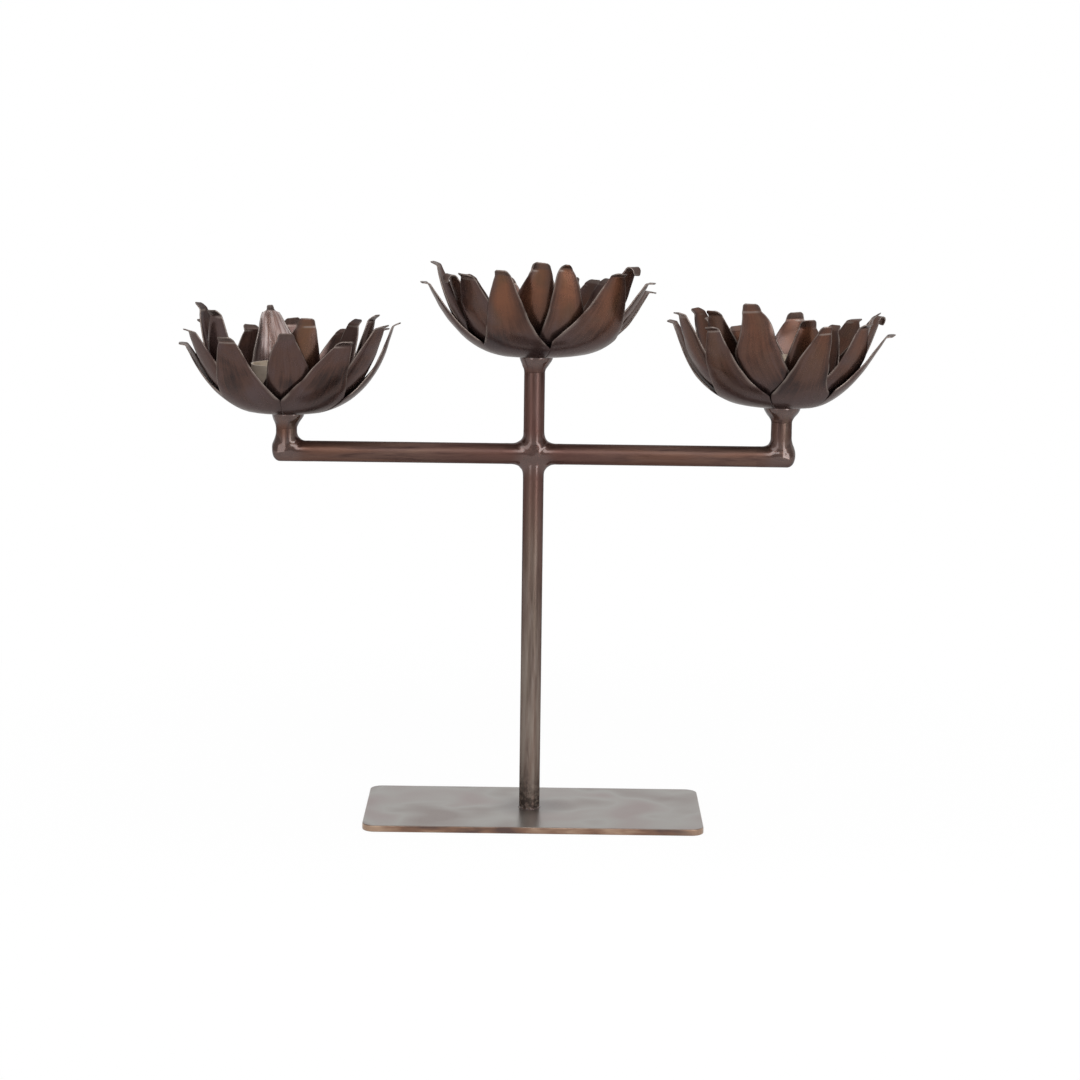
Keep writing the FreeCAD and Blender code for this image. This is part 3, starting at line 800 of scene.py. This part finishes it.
@dataclass
class PetalMesh:
    """The growing mesh of one rosette."""

    cut: PetalCut
    points: list[np.ndarray] = field(default_factory=list)
    faces: Faces = field(default_factory=list)
    layers: dict[str, list[np.ndarray]] = field(default_factory=lambda: {n: [] for n in LAYERS})
    count: int = 0

    def add(self, points: np.ndarray, **layers: Union[float, np.ndarray]) -> np.ndarray:
        """Add points and return their numbers in the same arrangement.

        Args:
            points: points of any arrangement.
            layers: a number, or one for each point, by layer.

        Returns:
            The points' numbers.
        """
        shape = points.shape[:-1]
        numbers = np.arange(self.count, self.count + int(np.prod(shape))).reshape(shape)
        self.count += numbers.size
        self.points.append(points.reshape(-1, 3))
        for name in LAYERS:
            self.layers[name].append(np.broadcast_to(layers.get(name, 0.0), shape).reshape(-1))
        return numbers

    def join(self, first: np.ndarray, second: np.ndarray) -> None:
        """Join two rows of point numbers by a strip of quads."""
        for a, b, c, d in zip(first, first[1:], second[1:], second):
            self.faces.append((int(a), int(b), int(c), int(d)))

    def petal(self, bend: PetalBend, heading: float) -> tuple[np.ndarray, ...]:
        """Add one petal with its rounded rim.

        Args:
            bend: the petal's own bend.
            heading: its direction from above, in radians.

        Returns:
            The numbers of the root's upper row, lower row, and the rim's two ends.
        """
        points, normals, share = self.cut.surface(bend)
        cos, sin = math.cos(heading), math.sin(heading)
        turn = np.array([[cos, sin, 0], [-sin, cos, 0], [0, 0, 1]])
        points, normals = points @ turn, normals @ turn
        rows, columns = points.shape[:2]
        # rim share: where the colour shows metal through the patina and a painted edge highlight
        edge = np.zeros((rows, columns))
        edge[:, [0, -1]] = 1.0
        edge[-1, :] = 1.0
        edge[:, [1, -2]] = np.maximum(edge[:, [1, -2]], 0.55)
        edge[-2, :] = np.maximum(edge[-2, :], 0.55)
        free = eased((share - self.cut.free_from) / 0.05)
        edge *= free[:, None]
        across = np.broadcast_to(np.array(self.cut.ACROSS), (rows, columns))
        looks = {"along": share[:, None], "across": across, "copper": bend.copper, "gloss": bend.gloss,
                 "tone": ripple(np.array([[bend.seed, 0, 0]]), 1.0, 0.5)[0]}
        half = self.cut.sheet / 2
        upper = self.add(points + normals * half, rim=edge, **looks)
        lower = self.add(points - normals * half, rim=edge, **looks)
        for row in range(rows - 1):
            self.join(upper[row], upper[row + 1])
            self.join(lower[row + 1], lower[row])
        ring = [(row, 0) for row in range(rows)] + [(rows - 1, c) for c in range(1, columns)]
        ring += [(row, columns - 1) for row in range(rows - 2, -1, -1)]
        inner = [(max(r - (r == rows - 1), 0), min(max(c, 1), columns - 2)) for r, c in ring]
        at = np.array([points[r, c] for r, c in ring])
        out = at - np.array([points[r, c] for r, c in inner])
        out /= np.linalg.norm(out, axis=1, keepdims=True)
        shares = np.array([share[r] for r, _ in ring])
        bare_and_highlight = np.array([free[r] for r, _ in ring])
        sides = np.array([across[r, c] for r, c in ring])
        rim = self.add(at + out * self.cut.rim_round, rim=bare_and_highlight, **{**looks, "along": shares, "across": sides})
        self.join([upper[r, c] for r, c in ring], rim)
        self.join(rim, [lower[r, c] for r, c in ring])
        return upper[0], lower[0], rim[0], rim[-1]

    def disc(self, roots: Sequence[tuple[np.ndarray, ...]]) -> None:
        """Close the rosette with its flat disc and the rivet's hole.

        Args:
            roots: what petal() returned for each petal, in order round the flower.
        """
        everything = np.concatenate(self.points)
        walls = []
        for side in (0, 1):
            outer = np.concatenate([root[side] for root in roots])
            corners = everything[outer]
            flat = corners[:, :2]
            directions = flat / np.linalg.norm(flat, axis=1, keepdims=True)
            hole = np.concatenate([directions * self.cut.hole_radius, corners[:, 2:]], axis=1)
            middle = self.add(corners * 0.5 + hole * 0.5)
            inner = self.add(hole)
            rings = [np.append(ring, ring[0]) for ring in (outer, middle, inner)]
            self.join(rings[0], rings[1])
            self.join(rings[1], rings[2])
            walls.append(rings[2])
        self.join(walls[0], walls[1])
        for here, after in zip(roots, list(roots[1:]) + [roots[0]]):
            self.join([here[0][-1], after[0][0]], [here[3], after[2]])
            self.join([here[3], after[2]], [here[1][-1], after[1][0]])


@dataclass(frozen=True)
class RosetteBends:
    """The hand work on one rosette: the first petal's direction, then a number for each petal."""

    first: float
    leans: tuple[float, ...]
    longer: tuple[float, ...]
    turned: dict[int, float] = field(default_factory=dict)
    tips: dict[int, Tip] = field(default_factory=dict)
    copper: dict[int, float] = field(default_factory=dict)
    spreads: dict[int, float] = field(default_factory=dict)
    widest: dict[int, float] = field(default_factory=dict)
    sway: dict[int, float] = field(default_factory=dict)
    trims: dict[int, tuple[float, float]] = field(default_factory=dict)
    # gloss per petal: its coat, and a grey painted highlight in its colour
    gloss: dict[int, float] = field(default_factory=dict)


@dataclass
class Flower:
    """One lotus flower: three rosettes of petals, its collar weld and its loose candle cup."""

    name: str
    seat: tuple[float, float, float]
    bends: dict[Rosette, RosetteBends]
    collar_flares: tuple[float, float]
    rise: float
    tilt: float
    seed: float
    usual_copper: float = 0.35
    usual_spread: float = 22.0
    usual_widest: float = 30.0
    least_flick: float = 0.35
    tube_radius: float = TUBE_RADIUS
    collar_height: float = 10.5
    collar_sides: int = 64
    collar_levels: int = 15
    collar_proud: float = 0.04
    collar_below: float = 0.02
    collar_sink: float = 0.3
    bend_start: float = 21.71
    bend_ease: float = 3.0

    CUTS = {Rosette.OUTER: PetalCut(0, 18.8, 62.8, 62.0, lip_extra_curl=6.0),
            Rosette.MIDDLE: PetalCut(1, 16.4, 68.2, 73.0),
            Rosette.INNER: PetalCut(2, 14.0, 73.6, 83.0, lip_extra_curl=-10.0)}

    def build(self, petals: bpy.types.Material, weld: bpy.types.Material) -> None:
        """Make the petals and the collar.

        Args:
            petals: the petals' finish.
            weld: the collar's finish.
        """
        for number, rosette in enumerate(Rosette):
            self.rosette(rosette, self.seed + number * 0.37, petals)
        self.collar(weld)

    def rosette(self, rosette: Rosette, seed: float, material: bpy.types.Material) -> None:
        """Make one rosette.

        Args:
            rosette: which one.
            seed: what makes its dents its own.
            material: its finish.
        """
        cut, bends = self.CUTS[rosette], self.bends[rosette]
        mesh = PetalMesh(cut)
        roots = []
        for place in range(cut.petals):
            heading = math.radians(bends.first + place * 360 / cut.petals)
            tip = bends.tips.get(place, Tip.LIP)
            sideward = self.least_flick + (1 - self.least_flick) * abs(math.cos(heading))
            bend = PetalBend(
                lean=bends.leans[place],
                longer=bends.longer[place],
                turned=bends.turned.get(place, 0.0),
                tip=tip,
                flick=sideward if tip is Tip.LIP else 1.0,
                spread=bends.spreads.get(place, self.usual_spread),
                widest=bends.widest.get(place, self.usual_widest),
                sway=bends.sway.get(place, 0.0),
                trims=bends.trims.get(place, (0.0, 0.0)),
                copper=bends.copper.get(place, self.usual_copper),
                gloss=bends.gloss.get(place, 0.0),
                seed=seed + place * 1.31)
            roots.append(mesh.petal(bend, heading))
        mesh.disc(roots)
        points = self.bent(np.concatenate(mesh.points)) + np.array(self.seat)
        layers = {name: np.concatenate(numbers) for name, numbers in mesh.layers.items()}
        name = f"{self.name}_{rosette.value}_petals"
        piece = add_piece(name + ".bent", points, mesh.faces, material, layers)
        settle(piece, "stand", "petal_steel", name)

    def bent(self, points: np.ndarray) -> np.ndarray:
        """Return the petals' points, raised as the whole flower is bent up and over."""
        radius = np.linalg.norm(points[:, :2], axis=1)
        out = np.maximum(0.0, radius - self.bend_start)
        up, over = math.tan(math.radians(self.rise)), math.tan(math.radians(self.tilt))
        raised = points.copy()
        raised[:, 2] += out ** 2 / (out + self.bend_ease) * (up - over * points[:, 0] / radius)
        return raised

    def collar(self, material: bpy.types.Material) -> None:
        """Make the trumpet-shaped weld under the flower, wider on one side, with soft ripples."""
        sides = self.collar_sides
        levels = np.linspace(0.0, 1.0, self.collar_levels)
        around = np.linspace(0.0, 2 * math.pi, sides, endpoint=False)
        lift, turn = np.meshgrid(levels, around, indexing="ij")
        towards_left, towards_right = self.collar_flares
        flare = (towards_left + towards_right) / 2 + (towards_right - towards_left) / 2 * np.cos(turn)
        radius = self.tube_radius + self.collar_proud + flare * (0.9 * eased(lift * 1.2) + 0.1 * lift)
        height = -self.collar_height * (1 - lift) - self.collar_below
        points = np.stack([radius * np.cos(turn), radius * np.sin(turn), height], axis=-1)
        waves = ripple(points.reshape(-1, 3), 4.0, self.seed + 7).reshape(lift.shape)
        swell = 0.5 * waves * np.sin(math.pi * np.clip(lift * 1.1, 0, 1))
        points[..., 0] += swell * np.cos(turn)
        points[..., 1] += swell * np.sin(turn)
        bore = np.stack([np.cos(turn[0]), np.sin(turn[0])], axis=-1) * (self.tube_radius - self.collar_sink)
        low = np.concatenate([bore, np.full((sides, 1), -self.collar_height)], axis=1)
        high = np.concatenate([bore, np.full((sides, 1), -self.collar_below)], axis=1)
        rings = np.concatenate([[low], points, [high]])
        faces = closed_rings(len(rings), sides)
        name = f"{self.name}_collar_weld"
        weld = np.concatenate([np.zeros(sides), eased(lift * 1.5).reshape(-1), np.ones(sides)])
        layers = {"upright": np.ones(len(weld)), "weld": weld}
        placed = rings.reshape(-1, 3) + np.array(self.seat)
        piece = add_piece(name + ".flared", placed, faces, material, layers)
        settle(piece, "stand", "weld_metal", name)


# Welded tubes


@dataclass(frozen=True)
class Rod:
    """A stretch of tube under a weld: ends in millimetres, and which of them sink into the tube."""

    start: tuple[float, float, float]
    end: tuple[float, float, float]
    sinks: tuple[bool, bool]
    rounding: float = 0.5
    radius: float = TUBE_RADIUS
    proud: float = 0.05
    sink: float = 0.3
    sink_length: float = 5.0

    @property
    def upright(self) -> bool:
        """Return whether the rod stands."""
        return self.start[2] != self.end[2]

    def distance(self, points: np.ndarray) -> np.ndarray:
        """Return how far points lie outside the rod."""
        start, end = np.array(self.start), np.array(self.end)
        length = np.linalg.norm(end - start)
        axis = (end - start) / length
        along = (points - start) @ axis
        out = np.linalg.norm(points - start - along[:, None] * axis, axis=1)
        radius = np.full(len(points), self.radius + self.proud)
        for sinks, left in zip(self.sinks, (along, length - along)):
            if sinks:
                radius -= self.sink * (1 - eased(left / self.sink_length))
        r = self.rounding
        side, cap = out - (radius - r), np.abs(along - length / 2) - (length / 2 - r)
        corner = np.hypot(np.maximum(side, 0), np.maximum(cap, 0))
        return corner + np.minimum(np.maximum(side, cap), 0) - r


@dataclass
class WeldSkin:
    """A smooth weld that flows from one tube into another."""

    name: str
    first: Rod
    second: Rod
    blend: float
    seed: float
    nodes: tuple[str, ...]
    bulge: float = 0.35
    waves: float = 0.5
    wave_size: float = 5.5
    voxel: float = 0.5
    core_sides: int = 48
    passes: int = 8
    nudge: float = 0.01
    pattern: np.ndarray = field(init=False, repr=False)

    def outside(self, points: np.ndarray) -> np.ndarray:
        """Return how far points lie outside the weld's surface."""
        a, b = self.first.distance(points), self.second.distance(points)
        sideways = np.clip(np.abs(points[:, 1]) / self.first.radius, 0, 1)
        reach = self.blend * (1 - (1 - self.bulge) * sideways ** 2)
        overlap = np.maximum(reach - np.abs(a - b), 0) / reach
        smooth = np.minimum(a, b) - overlap ** 2 * reach / 4
        return smooth - self.waves * overlap * self.pattern

    def looks(self, points: np.ndarray) -> dict[str, np.ndarray]:
        """Return how upright and how welded the surface is at points, from 0 to 1."""
        a, b = self.first.distance(points), self.second.distance(points)
        nearer = eased(0.5 + (b - a) / 4)
        upright = nearer if self.first.upright else 1 - nearer
        return {"upright": upright, "weld": 1 - eased(np.abs(a - b) / (1.3 * self.blend))}

    def core(self) -> tuple[np.ndarray, Faces]:
        """Return a plain closed mesh of the two rods, as points in millimetres and faces."""
        work = bmesh.new()
        for rod in (self.first, self.second):
            start, end = Vector(rod.start), Vector(rod.end)
            turned = (end - start).to_track_quat("Z", "Y").to_matrix().to_4x4()
            bmesh.ops.create_cone(work, cap_ends=True, segments=self.core_sides, radius1=rod.radius,
                                  radius2=rod.radius, depth=(end - start).length,
                                  matrix=Matrix.Translation((start + end) / 2) @ turned)
        mesh = bpy.data.meshes.new("weld_core")
        work.to_mesh(mesh)
        work.free()
        core = bpy.data.objects.new("weld_core", mesh)
        bpy.context.scene.collection.objects.link(core)
        remesh = core.modifiers.new("even", "REMESH")
        remesh.mode = "VOXEL"
        remesh.voxel_size = self.voxel
        view = core.evaluated_get(bpy.context.evaluated_depsgraph_get())
        result = bpy.data.meshes.new_from_object(view)
        points = np.array([v.co for v in result.vertices])
        faces = [tuple(p.vertices) for p in result.polygons]
        bpy.data.objects.remove(core)
        bpy.data.meshes.remove(mesh)
        bpy.data.meshes.remove(result)
        return points, faces

    def build(self, material: bpy.types.Material) -> None:
        """Make the weld: draw the plain mesh onto the smooth surface.

        Args:
            material: its finish.
        """
        points, faces = self.core()
        self.pattern = ripple(points, self.wave_size, self.seed)
        for _ in range(self.passes):
            here = self.outside(points)
            ahead = [self.outside(points + self.nudge * axis) for axis in np.eye(3)]
            slope = np.stack([(there - here) / self.nudge for there in ahead], axis=1)
            steep = np.maximum((slope ** 2).sum(axis=1), 0.2)
            step = np.clip(here / steep, -1.0, 1.0)
            points = points - slope * step[:, None]
        piece = add_piece(self.name, points, faces, material, self.looks(points))
        settle(piece, "stand", "weld_metal", *self.nodes)


@dataclass
class TubeFrame:
    """The stem, the arms and the risers with their welds, in millimetres."""

    arm_height: float = ARM_HEIGHT
    arm_reach: float = ARM_REACH
    plug_overhang: float = 8.0
    plug_round: float = 4.2
    plate_top: float = PLATE_TOP
    tube_radius: float = TUBE_RADIUS
    stem_run: float = 19.0
    cross_run: float = 22.0
    cross_blend: float = 7.4
    arm_run: float = 19.0
    riser_run: float = 20.0
    elbow_blend: float = 6.0
    elbow_waves: float = 0.4
    foot_leg: float = 1.1
    foot_sides: int = 96
    foot_rows: int = 9
    foot_beads: int = 17

    UPRIGHTS = ("stem", "left_riser", "right_riser")
    ARMS = ("left_arm", "right_arm")

    def build(self, upright: bpy.types.Material, arm: bpy.types.Material, weld: bpy.types.Material) -> None:
        """Dress the tubes and make the welds.

        Args:
            upright: the stem's and the risers' finish.
            arm: the arms' finish.
            weld: the welds' finish.
        """
        for nodes, finish in ((self.UPRIGHTS, upright), (self.ARMS, arm)):
            for node in nodes:
                dress(node, finish)
        self.cross_weld().build(weld)
        for side, sign in (("left", -1), ("right", 1)):
            self.elbow_weld(side, sign).build(weld)
        self.foot_weld(weld)

    def cross_weld(self) -> WeldSkin:
        """Return the weld where both arms meet the stem."""
        z = self.arm_height
        stem = Rod((0, 0, z - self.stem_run), (0, 0, z + self.stem_run), (True, True))
        arms = Rod((-self.cross_run, 0, z), (self.cross_run, 0, z), (True, True))
        nodes = ("left_arm_weld", "right_arm_weld")
        return WeldSkin("arm_welds.smooth", stem, arms, self.cross_blend, 1.3, nodes)

    def elbow_weld(self, side: str, sign: int) -> WeldSkin:
        """Return the rounded corner of an arm and its riser.

        Args:
            side: left or right.
            sign: the side's direction along X.

        Returns:
            The weld.
        """
        x, z = sign * self.arm_reach, self.arm_height
        outer = sign * (self.arm_reach + self.plug_overhang)
        arm = Rod((outer, 0, z), (x - sign * self.arm_run, 0, z), (False, True), self.plug_round)
        riser = Rod((x, 0, z), (x, 0, z + self.riser_run), (False, True))
        nodes = (f"{side}_riser_weld", f"{side}_arm_end_plug")
        return WeldSkin(f"{side}_elbow_weld.smooth", arm, riser, self.elbow_blend, 2.0 + sign * 0.4, nodes,
                        waves=self.elbow_waves)

    def foot_weld(self, material: bpy.types.Material) -> None:
        """Make the small rippled bead where the stem stands on the plate."""
        around = np.linspace(0.0, 2 * math.pi, self.foot_sides, endpoint=False)
        across = np.linspace(0.0, math.pi / 2, self.foot_rows)
        fan, turn = np.meshgrid(across, around, indexing="ij")
        ring = np.stack([np.cos(turn), np.sin(turn), fan], axis=-1).reshape(-1, 3)
        leg = self.foot_leg * (0.85 + 0.15 * ripple(ring * 4.0, 1.0, 4.2).reshape(fan.shape))
        leg = leg * (0.93 + 0.07 * np.cos(turn * self.foot_beads))
        bulge = 1 - 0.28 * np.sin(2 * fan)
        radius = self.tube_radius - 0.1 + leg * bulge * np.cos(fan)
        height = self.plate_top + leg * bulge * np.sin(fan)
        height[0] = self.plate_top - 0.05
        rows = np.stack([radius * np.cos(turn), radius * np.sin(turn), height], axis=-1)
        inside = rows[0].copy()
        inside[:, :2] *= ((self.tube_radius - 0.4) / np.linalg.norm(inside[:, :2], axis=1))[:, None]
        top = inside.copy()
        top[:, 2] = rows[-1][:, 2]
        rings = np.concatenate([rows, [top], [inside]])
        points = rings.reshape(-1, 3)
        layers = {"upright": np.ones(len(points)), "weld": np.ones(len(points))}
        faces = closed_rings(len(rings), self.foot_sides)
        piece = add_piece("stem_foot_weld.rippled", points, faces, material, layers)
        settle(piece, "stand", "weld_metal", "stem_foot_weld")


# Studio


@dataclass(frozen=True)
class SoftBox:
    """A rectangular lamp that faces a height on the stem's axis, in metres and watts."""

    name: str
    place: tuple[float, float, float]
    size: tuple[float, float]
    power: float
    aim_height: float

    def build(self) -> None:
        """Make the lamp, which the camera doesn't see."""
        lamp = bpy.data.lights.new(self.name, "AREA")
        lamp.shape = "RECTANGLE"
        lamp.size, lamp.size_y = self.size
        lamp.energy = self.power
        made = bpy.data.objects.new(self.name, lamp)
        aim = Vector((0.0, 0.0, self.aim_height)) - Vector(self.place)
        facing = aim.to_track_quat("-Z", "Y").to_matrix().to_4x4()
        made.matrix_world = Matrix.Translation(self.place) @ facing
        made.visible_camera = False
        bpy.context.scene.collection.objects.link(made)


@dataclass
class Studio:
    """A pale floor, soft boxes and the camera where the picture was taken from, in metres."""

    camera_place: tuple[float, float, float] = (0.0045867, -1.765, 0.460937)
    camera_pitch: float = 0.16187
    camera_roll: float = 0.01298
    lens: float = 97.077
    sensor: float = 36.0
    world_light: float = 0.42
    floor_glow: float = 0.955
    floor_half: float = 6.0

    BOXES = (SoftBox("left_strip", (-0.46, -0.66, 0.62), (0.3, 1.2), 2.3, 0.62),
             SoftBox("right_strip", (0.48, -0.64, 0.62), (0.22, 1.2), 4.1, 0.62),
             SoftBox("front_box", (0.0, -1.75, 1.35), (1.5, 0.9), 17.0, 0.22),
             SoftBox("top_box", (0.0, 0.1, 1.9), (1.4, 1.0), 7.0, 0.22))

    def build(self) -> None:
        """Make the floor, the light and the camera."""
        bpy.context.scene.view_settings.view_transform = "Standard"
        self.floor()
        self.world()
        for box in self.BOXES:
            box.build()
        self.camera()

    def floor(self) -> None:
        """Make the floor, which shows white to the camera and keeps a soft shadow."""
        work = bmesh.new()
        bmesh.ops.create_grid(work, x_segments=8, y_segments=8, size=self.floor_half)
        mesh = bpy.data.meshes.new("floor")
        work.to_mesh(mesh)
        work.free()
        material, tree = new_tree("floor_white")
        at = tree.place()
        mottle = tree.clouds(at, 3.0, 2.0)
        colour = tree.mix(mottle, (0.93, 0.93, 0.93, 1.0), (0.97, 0.97, 0.97, 1.0))
        matt = tree.node("ShaderNodeBsdfDiffuse", {}, {"Color": colour})
        glow = tree.node("ShaderNodeEmission", {}, {"Color": (1.0, 1.0, 1.0, 1.0), "Strength": 1.0})
        camera, glossy, glass = self.rays(tree)
        seen = (camera + glossy + glass).clamped()
        reach = tree.node("ShaderNodeVectorMath", {"operation": "LENGTH"}, {0: at}, "Value")
        share = reach.between(0.15, 0.6) * (1 - self.floor_glow) + self.floor_glow
        both = tree.node("ShaderNodeMixShader", {}, {0: seen * share, 1: matt, 2: glow})
        tree.node("ShaderNodeOutputMaterial", {}, {"Surface": both})
        mesh.materials.append(material)
        floor = bpy.data.objects.new("floor", mesh)
        bpy.context.scene.collection.objects.link(floor)

    @staticmethod
    def rays(tree: ShaderTree) -> list[Value]:
        """Return whether the camera, a reflection or glass sees the surface, each as 1 or 0."""
        names = ("Is Camera Ray", "Is Glossy Ray", "Is Transmission Ray")
        return [tree.node("ShaderNodeLightPath", output=name) for name in names]

    def world(self) -> None:
        """Make the surroundings: white behind the object, and a dimmer room on the camera's side."""
        world = bpy.data.worlds.new("surroundings")
        world.use_nodes = True
        tree = ShaderTree(world.node_tree)
        direction = tree.node("ShaderNodeTexCoord", output="Generated")
        back, right = (tree.node("ShaderNodeSeparateXYZ", {}, {"Vector": direction}, axis) for axis in "YX")
        behind = (back + right * 0.2).between(0.0, 0.65)
        camera, glossy, glass = self.rays(tree)
        shown = (camera + (glossy + glass) * behind).clamped()
        strength = shown * (1 - self.world_light) + self.world_light
        white = tree.node("ShaderNodeBackground", {}, {"Color": (1.0, 1.0, 1.0, 1.0), "Strength": strength})
        tree.node("ShaderNodeOutputWorld", {}, {"Surface": white})
        bpy.context.scene.world = world

    def camera(self) -> None:
        """Make the camera."""
        lens = bpy.data.cameras.new("camera")
        lens.lens = self.lens
        lens.sensor_width = self.sensor
        made = bpy.data.objects.new("camera", lens)
        pitch = Matrix.Rotation(math.pi / 2 - self.camera_pitch, 4, "X")
        roll = Matrix.Rotation(self.camera_roll, 4, "Z")
        made.matrix_world = Matrix.Translation(self.camera_place) @ (pitch @ roll)
        bpy.context.scene.collection.objects.link(made)
        bpy.context.scene.camera = made


# The whole


def flowers() -> list[Flower]:
    """Return the three flowers with the hand work on each."""
    left = {
        Rosette.OUTER: RosetteBends(0, (12, 3, 3, -1, 8, 4), (7, -4, -2, -6.8, 1, -1), {2: -5, 4: 1, 5: 7}),
        Rosette.MIDDLE: RosetteBends(31, (-15, 0, -2, -7, 0, -9), (-4, -7, -3, -2, -6, 3), {4: 4},
                                     widest={4: 12.3}, sway={4: 3.5}),
        Rosette.INNER: RosetteBends(42, (-9, -8, -1, -1, 2, -5), (-12, -4, 0, 1, -5, -3), {1: 3, 3: 5, 4: 6},
                                    {1: Tip.KNOB}, {1: 0.25, 4: 0.9}, {0: 14, 5: 15}, gloss={1: 0.8}),
    }
    centre = {
        Rosette.OUTER: RosetteBends(12, (-2, 0, -6, 0, 9, 13), (4, 2, -4, 0, 14.6, 17),
                                    {0: -2, 1: -1, 2: -2, 3: -2, 4: 2, 5: 1}, {}, {4: 1.0, 5: 0.9}, {5: 30},
                                    trims={4: (0.28, 0.0)}),
        Rosette.MIDDLE: RosetteBends(50, (0, 0, 2, -4, 5, -11), (-10, -14, 1, 0, 11, 4), {4: -4},
                                     {4: Tip.POINT}, {4: 0.9}, {4: 15}, {4: 13.5}),
        Rosette.INNER: RosetteBends(27, (-4, -2, -7, -15, 2, -15), (-17, -11, -19, -11, -2, 7), {4: 7},
                                    {3: Tip.HOOK, 5: Tip.HOOK}, {4: 0.9}),
    }
    right = {
        Rosette.OUTER: RosetteBends(45, (-10, 2, 12, 3, 7, -7), (0, -6, 9, 12, 2, -8),
                                    {0: 2, 1: 8, 2: 5, 3: 5, 4: 3, 5: 5},
                                    trims={3: (0.4, 0.0), 4: (0.0, 0.4)}),
        Rosette.MIDDLE: RosetteBends(22, (-15, 5, 1, -1, 10, -3), (-6, -9, 4, 11, 12, -8), {1: -4, 4: -14},
                                     {0: Tip.HOOK}, {1: 0.5}, widest={4: 13.5}, sway={4: -8, 5: 4}),
        Rosette.INNER: RosetteBends(45, (-12, 0, 7, -12, 0, -12), (-24, -18, -12, 3, -12, -11), {4: -3},
                                    copper={4: 0.9}),
    }
    return [Flower("left", (-ARM_REACH, 0.0, 250.5), left, (2.4, 4.6), 9.0, 0.0, 1.0, usual_copper=0.08),
            Flower("centre", (0.0, 0.0, 286.8), centre, (2.8, 4.8), 2.0, 5.0, 11.0),
            Flower("right", (ARM_REACH, 0.0, 258.0), right, (4.7, 4.9), 9.5, -8.0, 23.0, usual_copper=0.55)]


def main() -> None:
    """Build the candelabra piece by piece."""
    logging.basicConfig(level=logging.INFO, format="%(name)s: %(message)s")
    upright = TubePatina("upright_patina", 0.35, 0.03).material(Drawn.UPRIGHT)
    arm = TubePatina("arm_patina", 0.46, 0.03, mauve=shade(97, 75, 66)).material(Drawn.LEVEL)
    weld = WeldPatina("weld_patina", 0.38, 0.03, mauve=shade(88, 68, 61)).welded()
    petals = PetalPatina().material()
    dress("base_plate", PlatePatina().material())
    TubeFrame().build(upright, arm, weld)
    rivet = SpunSteel("rivet_steel", shade(120, 108, 98), shade(70, 60, 54)).material()
    cup = SpunSteel("cup_steel", shade(206, 194, 178), shade(166, 152, 136)).material()
    for flower in flowers():
        flower.build(petals, weld)
        dress(flower.name + "_flower_rivet", rivet)
        dress(flower.name + "_candle_cup", cup)
    Studio().build()


if __name__ == "__main__":
    main()
